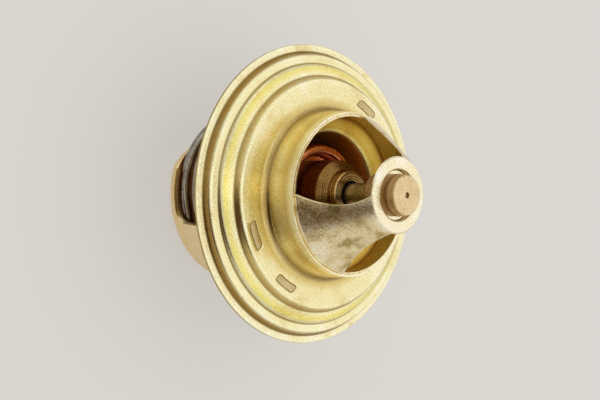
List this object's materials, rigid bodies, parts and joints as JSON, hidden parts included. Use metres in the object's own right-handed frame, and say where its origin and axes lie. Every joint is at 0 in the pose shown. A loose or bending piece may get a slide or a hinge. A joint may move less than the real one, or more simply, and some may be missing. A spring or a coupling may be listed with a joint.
{
  "type": "engine thermostat",
  "caption": "Wax-element coolant thermostat with a stepped round flange, tapering collar, arched bridge, sprung poppet valve and a strap cage round the spring.",
  "frame": {"origin": "centre of the flange rim's underside, the face that seats in the housing", "axes": "+Z along the valve axis towards the hub of the bridge; +X through the middle of one bridge arm and the cage leg under it; +Y through the open window between the arms"},
  "size_m": [0.067, 0.067, 0.0566],
  "materials": {
    "plate": "pressed sheet, golden, satin",
    "bridge": "pressed sheet, drawn and lightly scratched",
    "cage": "pressed sheet, golden, satin",
    "pin": "turned, dull brown-gold",
    "piston": "ground",
    "spring": "drawn wire, dark",
    "disc": "pressed, coppery",
    "seal": "moulded rubber",
    "element": "turned, dull",
    "cup": "drawn, coppery",
    "wax": "wax with copper powder",
    "washer": "stamped"
  },
  "bodies": {
    "frame": {"flange_plate": "plate", "seat_ring": "plate", "bridge": "bridge", "hub_pin": "pin", "piston": "piston", "lower_cage": "cage", "main_spring": "spring"},
    "valve": {"valve_disc": "disc", "valve_seal": "seal", "guide_body": "element", "neck_seal": "seal", "wax_cup": "cup", "wax_charge": "wax", "rubber_sleeve": "seal", "sleeve_washer": "washer"}
  },
  "joints": [
    {"name": "valve_slide", "type": "slide", "parent": "frame", "child": "valve", "axis": [0, 0, 1], "range_m": [-0.0085, 0], "stiffness_N_per_m": 8000, "springref_m": 0.0075, "deforming": ["main_spring"]}
  ]
}
